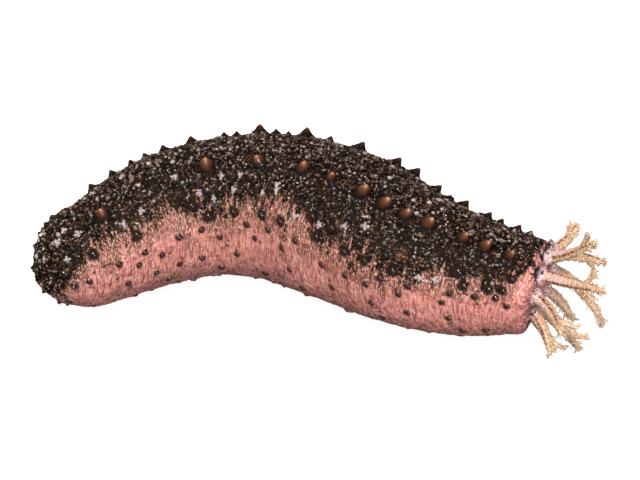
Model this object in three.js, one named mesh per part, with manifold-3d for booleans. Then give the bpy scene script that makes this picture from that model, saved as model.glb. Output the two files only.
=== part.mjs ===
// Sea cucumber at life size: a plump adult lying on its flat sole with ten feeding tentacles spread.
// Millimetres. +X runs towards the tentacles, +Z is up, and -Y is the animal's right flank.
// The origin is the flat end of a tube foot under the middle of the body.
import * as THREE from 'three';
import { mergeVertices } from 'three/addons/utils/BufferGeometryUtils.js';
import manifoldModule from 'manifold-3d';

const wasm = await manifoldModule();
wasm.setup();

// Body sections from the tail to the head: plan x, plan y, half width, crest height, sole height
const STATIONS = [
  [-103, -17, 23.5, 43.0, 0.8],
  [-76, 2, 28.0, 54.5, 0.8],
  [-48, 13, 30.0, 59.5, 0.8],
  [-18, 9, 32.5, 63.5, 0.8],
  [14, -9, 35.0, 62.5, 0.8],
  [42, -29, 32.5, 54.0, 0.8],
  [68, -41, 26.0, 47.5, 0.8],
  [89.5, -49.5, 22, 43, 5],
];
const LAST_STATION = STATIONS.length - 1;

// Rounded ends, with the tail cap counted as station numbers from -1 to 0
const TAIL_CAP = 26;
const TAIL_DIP = 7;
const TAIL_RINGS = [-0.92, -0.8, -0.66, -0.5, -0.34, -0.17];
const LIP_DEPTH = 2.5;
const LIP_SHARE = 0.9;
const LIP_TURNS = [30, 60, 90];
const HEAD_PITCH = 8;
const HEAD_PITCH_STATIONS = 2;

// Section: a round back over a flattened sole, widest at a share of its height
const WIDEST_SHARE = 0.52;
const HEAD_WIDEST_SHARE = 0.6;
const SOLE_FLATNESS = 1.7;
const SECTION_SIDES = 32;
const SECTIONS_PER_STATION = 3;

// Cuts that part the body, as station numbers, and the gap that touching pieces keep
const CUTS = [0.75, 2.35, 3.95, 6.35];
const GAP = 0.3;
const CUT_SPAN = 110;
const BODY_LENGTHS = ['posterior_end', 'hind_trunk', 'mid_trunk', 'fore_trunk', 'anterior_end'];

// Vent in the middle of the tail cap
const VENT_RADIUS = 2.6;
const VENT_PROUD = 0.6;

// Tube feet of the sole: three rows of short columns with flat ends on the floor
const FOOT_ROWS = [152, 180, 208];
const FOOT_RADIUS = 1.7;
const FOOT_SIDES = 6;
const FOOT_HEIGHT = 5;
const FOOT_FIRST = 0.36;
const FOOT_STEP = 0.8;
const FOOT_COUNT = 8;

// Forms raised on the skin: sides, and rings as [share of the root radius, share of the height].
// Papillae are blunt cones, the tall ones rounder and more slender.
// Warts and the tube feet of the flanks are low domes.
const ROOT_DEPTH = 1.6;
const PAPILLA = { sides: 6, rings: [[0.8, 0.25], [0.36, 0.8]], width: 0.72 };
const TALL = { sides: 6, rings: [[0.93, 0.25], [0.56, 0.8]], width: 0.5 };
const DOME = { sides: 5, rings: [[0.74, 0.65]], width: 1.05 };

// Rows along the back: angle from the crest line towards the right flank, and how far it sways
const SWAY_PEAK = 2.55;
const SWAY_LENGTH = 4.7;
const ANGLE_JITTER = 3;
const PLACE_JITTER = 0.06;
const LEAN_AHEAD = 0.35;
const LEAN_FROM = 3.3;
const ROWS = [
  {
    form: PAPILLA,
    angle: -8,
    sway: 0,
    places: [-0.8, -0.69, -0.56, -0.4, -0.14],
    heights: [2.2, 2.4, 2.6, 3, 3.2],
  },
  { form: PAPILLA, angle: 10, sway: 0, places: [0.77], heights: [3] },
  {
    form: PAPILLA,
    angle: -36,
    sway: 9,
    places: [
      0.4, 0.7, 0.95, 1.15, 1.4, 1.75, 2.15, 2.3, 2.6, 2.8, 2.95, 3.15,
      3.4, 3.75, 4.2, 4.45, 4.85, 5.15, 5.45, 5.9, 6.15, 6.5, 6.75,
    ],
    heights: [
      3.4, 3.2, 3, 3, 3.4, 3.8, 2.8, 2.6, 4.8, 2.6, 2, 4.8,
      3, 4.4, 4.2, 4.4, 3.6, 2.4, 4.2, 3.6, 3, 3.2, 2.6,
    ],
  },
  {
    form: TALL,
    angle: 24.5,
    sway: 3.5,
    places: [0.09, 1.79, 2.84, 3.56, 3.93, 4.4, 4.72, 5, 5.3, 5.82, 6.18, 6.62],
    heights: [4.4, 7, 5.2, 6.2, 4.6, 6.4, 6.4, 5.6, 6.2, 5, 5.4, 4.4],
  },
  {
    form: PAPILLA,
    angle: 57,
    sway: -3,
    places: [-0.2, 0.35, 1.3, 2.85, 3.95, 4.3, 4.7, 5, 5.9, 6.4, 6.8],
    heights: [2.8, 3, 3, 2.4, 3, 3, 2.8, 2.6, 3.2, 2.6, 2.2],
  },
  {
    form: PAPILLA,
    angle: 71,
    sway: 0,
    places: [-0.55, 1.6, 2.45, 3.2, 3.55, 4.1, 4.55, 4.8, 5.1, 6.05, 6.45, 6.7],
    heights: [3, 3.2, 2.6, 2.8, 2.6, 2.8, 2.8, 2.6, 3, 2.8, 2.6, 2.4],
  },
  {
    form: DOME,
    angle: 82,
    sway: 0,
    places: [0.05, 0.4, 1, 1.4, 2.8, 3.35, 3.8, 5, 5.3, 5.85, 6.25, 6.6],
    heights: [1.4],
  },
  {
    form: DOME,
    angle: 92,
    sway: 0,
    places: [-0.3, 0.3, 0.65, 1.95, 3, 3.6, 4.25, 4.6, 4.85, 5.2, 5.75, 6.85],
    heights: [1.3],
  },
  {
    form: DOME,
    angle: 104,
    sway: 0,
    places: [0.15, 0.55, 1, 1.4, 2.5, 3.7, 4.4, 4.9, 5.3, 5.85],
    heights: [1.3],
  },
  { form: DOME, angle: 117, sway: 0, places: [0.8, 2, 3.2, 3.85, 5, 6.1, 6.5], heights: [1.4] },
];

// Rows spread evenly by a loop: the left flank, and the small warts between the papillae of the back
const EVEN_ROWS = [
  { form: PAPILLA, angle: -60, height: 3, count: 10 },
  { form: PAPILLA, angle: -76, height: 2.8, count: 10 },
  { form: DOME, angle: -88, height: 1.4, count: 10 },
  { form: DOME, angle: -98, height: 1.4, count: 9 },
  { form: DOME, angle: -108, height: 1.4, count: 9 },
  { form: DOME, angle: -119, height: 1.4, count: 7 },
  { form: DOME, angle: -48, height: 1.4, count: 6 },
  { form: DOME, angle: -12, height: 1.4, count: 11 },
  { form: DOME, angle: 36, height: 1.4, count: 10 },
  { form: DOME, angle: 47, height: 1.4, count: 9 },
];
const EVEN_FIRST = -0.6;
const EVEN_LAST = 6.8;
const HEIGHT_JITTER = 0.15;
const SEED = 20;

// Oral disc, and the raised ring of the mouth in its middle: share of the lip outline, height
const DISC_THICKNESS = 1.8;
const MOUTH_PROFILE = [[0.5, 0], [0.34, 1.3], [0.22, 1.1], [0.12, -0.3]];
const MOUTH_DEPTH = -0.9;

// Ten tentacles round the disc. around: degrees from the top towards the right flank.
// heading: degrees in plan from +X towards +Y. pitch: degrees upwards.
// A fork is [share along the tentacle, turn from upwards, lean from the tentacle, share of its length].
const CROWN_RADIUS = 14.5;
const TENTACLES = [
  { around: 336, length: 16, heading: 6, pitch: 44, forks: [[0.55, 0, 36, 0.46]] },
  { around: 12, length: 29, heading: -42, pitch: 36, forks: [[0.66, 10, 30, 0.34]] },
  { around: 48, length: 34, heading: -46, pitch: 12, forks: [[0.64, 0, 42, 0.3], [0.6, 180, 40, 0.28]] },
  { around: 84, length: 28, heading: -72, pitch: -4, forks: [[0.6, 270, 40, 0.4]] },
  { around: 120, length: 24, heading: -72, pitch: -20, forks: [[0.62, 270, 38, 0.4]] },
  { around: 156, length: 16, heading: -36, pitch: -48, forks: [] },
  { around: 192, length: 28, heading: -46, pitch: -24, forks: [[0.64, 290, 38, 0.36]] },
  { around: 228, length: 22, heading: -8, pitch: -46, forks: [] },
  { around: 264, length: 35, heading: -26, pitch: -38, forks: [] },
  { around: 300, length: 27, heading: 10, pitch: -16, forks: [[0.6, 180, 38, 0.36]] },
];
const TENTACLE_SIDES = 8;
const ELBOW = { share: 0.42, forward: 0.85, out: 0.3 };
const STALK_SHARE = 0.5;
const COLLAR_LENGTH = 5;

// Radius along a tentacle: distance from the root for the collar, then share of the way to the tip
const COLLAR_PROFILE = [[0, 3.1], [1.4, 3.8], [3.2, 3.3], [COLLAR_LENGTH, 2.6]];
const SHAFT_RADIUS = 2.5;
const TIP_RADIUS = 0.7;
const TAPER_POWER = 1.5;

// Branchlets all round the outer part of a tentacle, and along its forks
const STALK_BRANCHLETS = [0.3, 0.36, 0.42];
const FROND_BRANCHLETS = [0.6, 0.65, 0.7, 0.76, 0.82, 0.88, 0.92, 0.96];
const FORK_BRANCHLETS = [0.45, 0.65, 0.85];
const BRANCHLET_TURN = 137.5;
const BRANCHLET_LEAN = { stalk: 74, frond: 52 };
const BRANCHLET_LENGTH = 2.6;
const BRANCHLET_RADIUS = 0.62;
const FORK_SIDES = 5;
const FORK_SHARES = [0, 0.35, 0.7, 1];
const FORK_BEND = { along: 0.4, aside: 0.2 };
const FORK_RADIUS_SHARE = 0.85;
const FORK_TIP_RADIUS = 0.5;
const FLOOR_CLEARANCE = 0.5;
const BRANCHLET_SIDES = 4;
const FROND_SHARES = [0.62, 0.74, 0.86, 1];

const COLOURS = {
  back: { color: 0x3a2c24, roughness: 0.55, metalness: 0 },
  disc: { color: 0xa9737a, roughness: 0.5, metalness: 0 },
  tentacle: { color: 0xd8c0a0, roughness: 0.6, metalness: 0 },
};

const degrees = THREE.MathUtils.degToRad;
const UP = new THREE.Vector3(0, 0, 1);

// Catmull-Rom value and slope of one station column at a station number
function spline(column, place) {
  const at = THREE.MathUtils.clamp(place, 0, LAST_STATION - 1e-9);
  const first = Math.floor(at);
  const f = at - first;
  const value = (index) => STATIONS[index][column];
  const p1 = value(first);
  const p2 = value(first + 1);
  const p0 = first === 0 ? 2 * p1 - p2 : value(first - 1);
  const p3 = first + 2 > LAST_STATION ? 2 * p2 - p1 : value(first + 2);
  const a = 3 * p1 - p0 - 3 * p2 + p3;
  const b = 2 * p0 - 5 * p1 + 4 * p2 - p3;
  const c = p2 - p0;
  return {
    value: 0.5 * (2 * p1 + c * f + b * f * f + a * f * f * f),
    slope: 0.5 * (c + 2 * b * f + 3 * a * f * f),
  };
}

// Centre, directions and half sizes of the body's section at a station number
function sectionFrame(place) {
  const x = spline(0, place);
  const y = spline(1, place);
  const crest = spline(3, place).value;
  const sole = spline(4, place).value;
  const plan = new THREE.Vector3(x.slope, y.slope, 0).normalize();
  const beyond = place - LAST_STATION + HEAD_PITCH_STATIONS;
  const ramp = THREE.MathUtils.clamp(beyond / HEAD_PITCH_STATIONS, 0, 1);
  const pitch = degrees(HEAD_PITCH) * ramp * ramp;
  const widest = WIDEST_SHARE + (HEAD_WIDEST_SHARE - WIDEST_SHARE) * ramp * ramp;
  const centreHeight = sole + (crest - sole) * widest;
  return {
    centre: new THREE.Vector3(x.value, y.value, centreHeight),
    forward: plan.clone().multiplyScalar(Math.cos(pitch)).addScaledVector(UP, -Math.sin(pitch)),
    up: plan.clone().multiplyScalar(Math.sin(pitch)).addScaledVector(UP, Math.cos(pitch)),
    side: new THREE.Vector3(plan.y, -plan.x, 0),
    half: spline(2, place).value,
    rise: crest - centreHeight,
    drop: centreHeight - sole,
  };
}

// Point of a section outline: angle in degrees from the crest towards the right flank
function outlinePoint(frame, angle, share = 1, along = 0) {
  const cos = Math.cos(degrees(angle));
  const height = cos >= 0 ? frame.rise * cos : -frame.drop * (1 - (1 + cos) ** SOLE_FLATNESS);
  return frame.centre
    .clone()
    .addScaledVector(frame.forward, along)
    .addScaledVector(frame.side, share * frame.half * Math.sin(degrees(angle)))
    .addScaledVector(frame.up, share * height);
}

// Skin point at a station number, on the tail cap too
function skinPoint(place, angle) {
  if (place >= 0) return outlinePoint(sectionFrame(place), angle);
  const turn = (-place * Math.PI) / 2;
  const level = outlinePoint(sectionFrame(0), angle, Math.cos(turn), -TAIL_CAP * Math.sin(turn));
  return level.addScaledVector(UP, -TAIL_DIP * (1 - Math.cos(turn)));
}

// Closed mesh through rings of equal point counts, with a fan at each end to a pole
function closedLoft(rings, startPole, endPole) {
  const sides = rings[0].length;
  const points = [...rings.flat(), startPole, endPole];
  const start = points.length - 2;
  const end = points.length - 1;
  const lastRing = (rings.length - 1) * sides;
  const index = [];
  for (let i = 0; i < sides; i += 1) {
    const next = (i + 1) % sides;
    index.push(start, next, i);
    index.push(end, lastRing + i, lastRing + next);
    for (let row = 0; row < lastRing; row += sides) {
      index.push(row + i, row + next, row + sides + i);
      index.push(row + next, row + sides + next, row + sides + i);
    }
  }
  return outward(meshGeometry(points.flatMap((p) => p.toArray()), index));
}

function meshGeometry(positions, index) {
  const geometry = new THREE.BufferGeometry();
  geometry.setAttribute('position', new THREE.BufferAttribute(new Float32Array(positions), 3));
  geometry.setIndex([...index]);
  return geometry;
}

// Turns every face round where the mesh's signed volume is negative
function outward(geometry) {
  const position = geometry.getAttribute('position');
  const index = geometry.getIndex();
  const corner = (i) => new THREE.Vector3().fromBufferAttribute(position, index.getX(i));
  let volume = 0;
  for (let i = 0; i < index.count; i += 3) {
    volume += corner(i).dot(corner(i + 1).cross(corner(i + 2)));
  }
  if (volume > 0) return geometry;
  for (let i = 0; i < index.count; i += 3) {
    const kept = index.getX(i + 1);
    index.setX(i + 1, index.getX(i + 2));
    index.setX(i + 2, kept);
  }
  return geometry;
}

function centroid(ring) {
  return ring.reduce((sum, p) => sum.add(p), new THREE.Vector3()).divideScalar(ring.length);
}

// Closed mesh as a solid for joining and cutting
function solidOf(geometry) {
  const bare = geometry.clone();
  bare.deleteAttribute('normal');
  bare.deleteAttribute('uv');
  const merged = mergeVertices(bare);
  return new wasm.Manifold(
    new wasm.Mesh({
      numProp: 3,
      vertProperties: new Float32Array(merged.getAttribute('position').array),
      triVerts: new Uint32Array(merged.getIndex().array),
    }),
  );
}

function joined(solids) {
  let pool = solids;
  while (pool.length > 1) {
    const next = [];
    for (let i = 0; i < pool.length; i += 2) {
      next.push(i + 1 < pool.length ? pool[i].add(pool[i + 1]) : pool[i]);
    }
    pool = next;
  }
  return pool[0];
}

// Closed surfaces of a solid, the largest first
function surfaces(solid) {
  return solid.decompose().sort((a, b) => b.volume() - a.volume());
}

function geometryOf(solid) {
  const mesh = solid.getMesh();
  return meshGeometry(mesh.vertProperties, mesh.triVerts);
}

// Regular ring of points in the plane of two directions
function ring(centre, right, ahead, radius, sides) {
  return Array.from({ length: sides }, (unused, i) => {
    const turn = (2 * Math.PI * i) / sides;
    return centre
      .clone()
      .addScaledVector(right, radius * Math.cos(turn))
      .addScaledVector(ahead, radius * Math.sin(turn));
  });
}

// Body skin from the tail's pole to the flat front inside the lip
function bodySkin() {
  const angles = Array.from({ length: SECTION_SIDES }, (unused, i) => (360 * i) / SECTION_SIDES);
  const around = (make) => angles.map(make);
  const rings = [];
  for (const place of TAIL_RINGS) rings.push(around((angle) => skinPoint(place, angle)));
  const count = LAST_STATION * SECTIONS_PER_STATION;
  for (let i = 0; i <= count; i += 1) {
    const place = (LAST_STATION * i) / count;
    rings.push(around((angle) => skinPoint(place, angle)));
  }
  const front = sectionFrame(LAST_STATION);
  for (const turn of LIP_TURNS) {
    const share = LIP_SHARE + (1 - LIP_SHARE) * Math.cos(degrees(turn));
    const along = LIP_DEPTH * Math.sin(degrees(turn));
    rings.push(around((angle) => outlinePoint(front, angle, share, along)));
  }
  return closedLoft(rings, skinPoint(-1, 0), outlinePoint(front, 0, 0, LIP_DEPTH));
}

// Short column from the floor up into the sole
function tubeFoot(place, angle) {
  const root = skinPoint(place, angle);
  const low = new THREE.Vector3(root.x, root.y, 0);
  const high = new THREE.Vector3(root.x, root.y, FOOT_HEIGHT);
  const east = new THREE.Vector3(1, 0, 0);
  const north = new THREE.Vector3(0, 1, 0);
  const rings = [low, high].map((centre) => ring(centre, east, north, FOOT_RADIUS, FOOT_SIDES));
  return closedLoft(rings, low, high);
}

function soleFeet() {
  const feet = [];
  for (const angle of FOOT_ROWS) {
    for (let i = 0; i < FOOT_COUNT; i += 1) {
      feet.push(tubeFoot(FOOT_FIRST + FOOT_STEP * i, angle));
    }
  }
  return feet;
}

// Repeatable random numbers from 0 to 1
function randomSource(seed) {
  let state = seed;
  return () => {
    state = (state * 16807) % 2147483647;
    return state / 2147483647;
  };
}

// Cone or dome standing on the skin, its root sunk into the body
function raisedForm(form, place, angle, height) {
  const point = skinPoint(place, angle);
  const step = 0.01;
  const ahead = skinPoint(place + step, angle).sub(skinPoint(place - step, angle)).normalize();
  const round = skinPoint(place, angle + 1).sub(skinPoint(place, angle - 1)).normalize();
  const normal = round.clone().cross(ahead).normalize();
  if (normal.dot(point.clone().sub(sectionFrame(Math.max(place, 0)).centre)) < 0) normal.negate();
  const lean = place > LEAN_FROM ? LEAN_AHEAD : 0;
  const at = (level) =>
    point.clone().addScaledVector(normal, level).addScaledVector(ahead, lean * Math.max(level, 0));
  const radius = form.width * height;
  const side = normal.clone().cross(ahead);
  const sunk = [1, -ROOT_DEPTH / height];
  const rings = [sunk, ...form.rings].map(([share, level]) =>
    ring(at(level * height), side, ahead, share * radius, form.sides),
  );
  return closedLoft(rings, at(-ROOT_DEPTH), at(height));
}

function raisedForms() {
  const random = randomSource(SEED);
  const jitter = (size) => size * (2 * random() - 1);
  const forms = [];
  for (const { form, angle, sway, places, heights } of ROWS) {
    places.forEach((place, i) => {
      const swayed = angle + sway * Math.cos((2 * Math.PI * (place - SWAY_PEAK)) / SWAY_LENGTH);
      forms.push(raisedForm(form, place, swayed, heights[i % heights.length]));
    });
  }
  for (const { form, angle, height, count } of EVEN_ROWS) {
    for (let i = 0; i < count; i += 1) {
      const spread = EVEN_FIRST + ((EVEN_LAST - EVEN_FIRST) * (i + 0.5)) / count;
      const varied = height * (1 + jitter(HEIGHT_JITTER));
      forms.push(raisedForm(form, spread + jitter(3 * PLACE_JITTER), angle + jitter(ANGLE_JITTER), varied));
    }
  }
  return forms;
}

function vent() {
  const ball = new THREE.SphereGeometry(VENT_RADIUS, 10, 8);
  const at = skinPoint(-1, 0).addScaledVector(sectionFrame(0).forward, -VENT_PROUD);
  return ball.translate(at.x, at.y, at.z);
}

// Thin flat plate across the body at a station number
function cutPlate(place) {
  const frame = sectionFrame(place);
  const plate = new THREE.BoxGeometry(GAP, CUT_SPAN, CUT_SPAN);
  const turn = new THREE.Matrix4().makeBasis(frame.forward, frame.side.clone().negate(), frame.up);
  return plate.applyMatrix4(turn.setPosition(frame.centre));
}

function bodyLengths() {
  const whole = joined([bodySkin(), ...soleFeet(), ...raisedForms()].map(solidOf));
  const tools = [vent(), ...CUTS.map(cutPlate)].map(solidOf);
  const parted = tools.reduce((solid, tool) => solid.subtract(tool), whole);
  const lengths = surfaces(parted).slice(0, BODY_LENGTHS.length);
  const middle = (solid) => solid.boundingBox().min[0] + solid.boundingBox().max[0];
  lengths.sort((a, b) => middle(a) - middle(b));
  return lengths.map((solid, i) => [BODY_LENGTHS[i], geometryOf(solid), COLOURS.back]);
}

// Plate in front of the lip with the raised ring of the mouth
function oralDisc() {
  const front = sectionFrame(LAST_STATION);
  const back = LIP_DEPTH + GAP;
  const face = back + DISC_THICKNESS;
  const profile = [[LIP_SHARE, back], [LIP_SHARE, face]];
  for (const [share, height] of MOUTH_PROFILE) profile.push([share, face + height]);
  const rings = profile.map(([share, along]) =>
    Array.from({ length: SECTION_SIDES }, (unused, i) =>
      outlinePoint(front, (360 * i) / SECTION_SIDES, share, along),
    ),
  );
  const poles = [back, face + MOUTH_DEPTH].map((along) => outlinePoint(front, 0, 0, along));
  return ['oral_disc', closedLoft(rings, ...poles), COLOURS.disc];
}

// Curve of a tentacle from the disc's face to its tip
function tentacleCurve({ around, length, heading, pitch }) {
  const front = sectionFrame(LAST_STATION);
  const turn = degrees(around);
  const out = front.up.clone().multiplyScalar(Math.cos(turn)).addScaledVector(front.side, Math.sin(turn));
  const root = front.centre
    .clone()
    .addScaledVector(front.forward, LIP_DEPTH + DISC_THICKNESS + 2 * GAP)
    .addScaledVector(out, CROWN_RADIUS);
  const level = Math.cos(degrees(pitch));
  const aim = new THREE.Vector3(
    level * Math.cos(degrees(heading)),
    level * Math.sin(degrees(heading)),
    Math.sin(degrees(pitch)),
  );
  const lead = front.forward.clone().multiplyScalar(ELBOW.forward).addScaledVector(out, ELBOW.out);
  const elbow = root.clone().addScaledVector(lead, ELBOW.share * length);
  return new THREE.QuadraticBezierCurve3(root, elbow, root.clone().addScaledVector(aim, length));
}

// Directions across a curve at a share of its length: upwards first, then sideways
function across(tangent) {
  const raised = UP.clone().addScaledVector(tangent, -UP.dot(tangent)).normalize();
  return [raised, tangent.clone().cross(raised)];
}

// Tentacle radius at a distance from its root
function tentacleRadius(distance, length) {
  const last = COLLAR_PROFILE.findIndex(([reach]) => reach >= distance);
  if (last === 0) return COLLAR_PROFILE[0][1];
  if (last > 0) {
    const [d0, r0] = COLLAR_PROFILE[last - 1];
    const [d1, r1] = COLLAR_PROFILE[last];
    return THREE.MathUtils.mapLinear(distance, d0, d1, r0, r1);
  }
  const share = (distance - COLLAR_LENGTH) / (length - COLLAR_LENGTH);
  return SHAFT_RADIUS + (TIP_RADIUS - SHAFT_RADIUS) * share ** TAPER_POWER;
}

// Closed tube over part of a curve, with its rings square to the directions given
function tube(curve, shares, tangentAt, radiusAt, sides) {
  const rings = shares.map((share) =>
    ring(curve.getPoint(share), ...across(tangentAt(share)), radiusAt(share), sides),
  );
  return closedLoft(rings, centroid(rings[0]), centroid(rings[rings.length - 1]));
}

// Direction square to a curve, turned from upwards
function sideways(tangent, turn) {
  const [raised, side] = across(tangent);
  return raised.multiplyScalar(Math.cos(degrees(turn))).addScaledVector(side, Math.sin(degrees(turn)));
}

// Pointed branchlet rooted on the axis of a tentacle or fork, kept clear of the floor
function branchlet(curve, share, turn, lean, radius) {
  const root = curve.getPoint(share);
  const tangent = curve.getTangent(share);
  const tipAt = (angle) =>
    root
      .clone()
      .addScaledVector(tangent, (radius + BRANCHLET_LENGTH) * Math.cos(degrees(lean)))
      .addScaledVector(sideways(tangent, angle), (radius + BRANCHLET_LENGTH) * Math.sin(degrees(lean)));
  const tip = tipAt(turn).z > FLOOR_CLEARANCE ? tipAt(turn) : tipAt(turn + 180);
  const way = tip.clone().sub(root).normalize();
  return closedLoft([ring(root, ...across(way), BRANCHLET_RADIUS, BRANCHLET_SIDES)], root, tip);
}

// Curve of a fork, leaving the tentacle along it and then leaning away
function forkCurve(curve, [at, turn, lean, share], length) {
  const root = curve.getPoint(at);
  const tangent = curve.getTangent(at);
  const reach = share * length;
  const aside = sideways(tangent, turn);
  const bend = root
    .clone()
    .addScaledVector(tangent, FORK_BEND.along * reach)
    .addScaledVector(aside, FORK_BEND.aside * reach);
  const end = root
    .clone()
    .addScaledVector(tangent, reach * Math.cos(degrees(lean)))
    .addScaledVector(aside, reach * Math.sin(degrees(lean)));
  return new THREE.QuadraticBezierCurve3(root, bend, end);
}

function tentacleNodes(tentacle, number) {
  const curve = tentacleCurve(tentacle);
  const { length } = tentacle;
  const radiusAt = (share) => tentacleRadius(share * length, length);
  const collar = COLLAR_PROFILE.map(([reach]) => reach / length);
  const stalkShares = [...collar, STALK_SHARE];
  const frondStart = STALK_SHARE + GAP / curve.getLength();
  const frondShares = [frondStart, ...FROND_SHARES];
  const base = sectionFrame(LAST_STATION).forward;
  const tangentAt = (share) => {
    const eased = Math.min(1, (share * length) / COLLAR_LENGTH) ** 2;
    return base.clone().lerp(curve.getTangent(share), eased).normalize();
  };
  const branches = (path, shares, lean, radius) =>
    shares.map((share, i) => branchlet(path, share, (number + i) * BRANCHLET_TURN, lean, radius(share)));
  const stalk = [
    tube(curve, stalkShares, tangentAt, radiusAt, TENTACLE_SIDES),
    ...branches(curve, STALK_BRANCHLETS, BRANCHLET_LEAN.stalk, radiusAt),
  ];
  const frond = [
    tube(curve, frondShares, tangentAt, radiusAt, TENTACLE_SIDES),
    ...branches(curve, FROND_BRANCHLETS, BRANCHLET_LEAN.frond, radiusAt),
  ];
  for (const fork of tentacle.forks) {
    const path = forkCurve(curve, fork, length);
    const root = FORK_RADIUS_SHARE * radiusAt(fork[0]);
    const forkRadius = (share) => THREE.MathUtils.lerp(root, FORK_TIP_RADIUS, share);
    frond.push(tube(path, FORK_SHARES, (share) => path.getTangent(share), forkRadius, FORK_SIDES));
    frond.push(...branches(path, FORK_BRANCHLETS, BRANCHLET_LEAN.frond, forkRadius));
  }
  const fused = (pieces) => geometryOf(surfaces(joined(pieces.map(solidOf)))[0]);
  return [
    [`tentacle_${number}_stalk`, fused(stalk), COLOURS.tentacle],
    [`tentacle_${number}_frond`, fused(frond), COLOURS.tentacle],
  ];
}

const seaCucumber = new THREE.Group();
const nodes = [...bodyLengths(), oralDisc(), ...TENTACLES.flatMap((t, i) => tentacleNodes(t, i + 1))];
for (const [name, geometry, finish] of nodes) {
  const mesh = new THREE.Mesh(geometry, new THREE.MeshStandardMaterial(finish));
  mesh.name = name;
  seaCucumber.add(mesh);
}

export default seaCucumber;
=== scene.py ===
"""Looks of the sea cucumber: one bumpy skin, ten branched tentacles, floor, light and camera."""
import math

import bpy
import numpy as np
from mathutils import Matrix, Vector


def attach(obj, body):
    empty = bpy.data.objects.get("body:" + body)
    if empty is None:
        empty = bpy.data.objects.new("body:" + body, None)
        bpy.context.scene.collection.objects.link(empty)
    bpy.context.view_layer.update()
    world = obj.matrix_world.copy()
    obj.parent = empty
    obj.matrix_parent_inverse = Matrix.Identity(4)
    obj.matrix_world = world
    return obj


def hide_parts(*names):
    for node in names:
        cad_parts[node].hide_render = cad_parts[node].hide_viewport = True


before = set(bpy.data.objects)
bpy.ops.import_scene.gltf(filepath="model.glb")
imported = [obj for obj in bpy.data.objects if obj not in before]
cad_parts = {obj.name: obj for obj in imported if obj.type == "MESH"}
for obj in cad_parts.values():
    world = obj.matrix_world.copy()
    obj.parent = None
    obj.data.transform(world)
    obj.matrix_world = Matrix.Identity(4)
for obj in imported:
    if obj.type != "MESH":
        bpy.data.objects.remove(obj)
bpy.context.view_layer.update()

MM = 0.001

# Body sections from the tail to the head: plan x, plan y, half width, crest height, sole height (mm)
STATIONS = np.array([
    (-103, -17, 23.5, 43.0, 0.8),
    (-76, 2, 28.0, 54.5, 0.8),
    (-48, 13, 30.0, 59.5, 0.8),
    (-18, 9, 32.5, 63.5, 0.8),
    (14, -9, 35.0, 62.5, 0.8),
    (42, -29, 32.5, 54.0, 0.8),
    (68, -41, 26.0, 47.5, 0.8),
    (89.5, -49.5, 22.0, 43.0, 5.0),
])
LAST = len(STATIONS) - 1
TAIL_CAP = 26.0
TAIL_ARC = 40.0
TAIL_DIP = 7.0
HEAD_PITCH = math.radians(8)
HEAD_PITCH_STATIONS = 2
WIDEST_SHARE = 0.52
HEAD_WIDEST_SHARE = 0.6
SOLE_FLATNESS = 1.7

# Lip and mouth beyond the last station: share of the section outline, distance ahead (mm)
DISC_RADIUS = 20
MOUTH_PROFILE = [
    (1.0, 0.0), (0.99, 1.5), (0.965, 2.9), (0.925, 4.0), (0.87, 4.8), (0.8, 5.1), (0.72, 4.9), (0.52, 4.5),
    (0.44, 5.0), (0.36, 5.9), (0.29, 6.1), (0.22, 5.4), (0.15, 4.2), (0.08, 3.3), (0.02, 3.0),
]

# Spacing of the skin's grid (mm) and number of columns round the body
ROW_STEP = 0.33
COLUMNS = 624

# Raised forms of the skin, as in the solids
SWAY_PEAK = 2.55
SWAY_LENGTH = 4.7
LEAN_AHEAD = 0.35
LEAN_FROM = 3.3
ROWS = [
    ("crest", -8, 0, [-0.8, -0.69, -0.56, -0.4, -0.14], [2.2, 2.4, 2.6, 3, 3.2]),
    ("crest", 10, 0, [0.77], [3]),
    ("crest", -36, 9,
     [0.4, 0.7, 0.95, 1.15, 1.4, 1.75, 2.15, 2.3, 2.6, 2.8, 2.95, 3.15,
      3.4, 3.75, 4.2, 4.45, 4.85, 5.15, 5.45, 5.9, 6.15, 6.5, 6.75],
     [3.4, 3.2, 3, 3, 3.4, 3.8, 2.8, 2.6, 4.8, 2.6, 2, 4.8,
      3, 4.4, 4.2, 4.4, 3.6, 2.4, 4.2, 3.6, 3, 3.2, 2.6]),
    ("tall", 24.5, 3.5,
     [0.09, 1.79, 2.84, 3.56, 3.93, 4.4, 4.72, 5, 5.3, 5.82, 6.18, 6.62],
     [5.6, 7, 5.2, 6.2, 4.6, 6.4, 6.4, 5.6, 6.2, 5, 5.4, 4.4]),
    ("dark", 57, -3,
     [-0.2, 0.35, 1.3, 2.85, 3.95, 4.3, 4.7, 5, 5.9, 6.4, 6.8],
     [2.8, 3, 3, 2.4, 3, 3, 2.8, 2.6, 3.2, 2.6, 2.2]),
    ("dark", 71, 0,
     [-0.55, 1.6, 2.45, 3.2, 3.55, 4.1, 4.55, 4.8, 5.1, 6.05, 6.45, 6.7],
     [3, 3.2, 2.6, 2.8, 2.6, 2.8, 2.8, 2.6, 3, 2.8, 2.6, 2.4]),
    ("podium", 82, 0, [0.05, 0.4, 1, 1.4, 2.8, 3.35, 3.8, 5, 5.3, 5.85, 6.25, 6.6], [1.4]),
    ("podium", 92, 0, [-0.3, 0.3, 0.65, 1.95, 3, 3.6, 4.25, 4.6, 4.85, 5.2, 5.75, 6.85], [1.3]),
    ("podium", 104, 0, [0.15, 0.55, 1, 1.4, 2.5, 3.7, 4.4, 4.9, 5.3, 5.85], [1.3]),
    ("podium", 117, 0, [0.8, 2, 3.2, 3.85, 5, 6.1, 6.5], [1.4]),
]
EVEN_ROWS = [
    ("dark", -60, 3, 10),
    ("dark", -76, 2.8, 10),
    ("podium", -88, 1.4, 10),
    ("podium", -98, 1.4, 9),
    ("podium", -108, 1.4, 9),
    ("podium", -119, 1.4, 7),
]
EVEN_FIRST = -0.6
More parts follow.
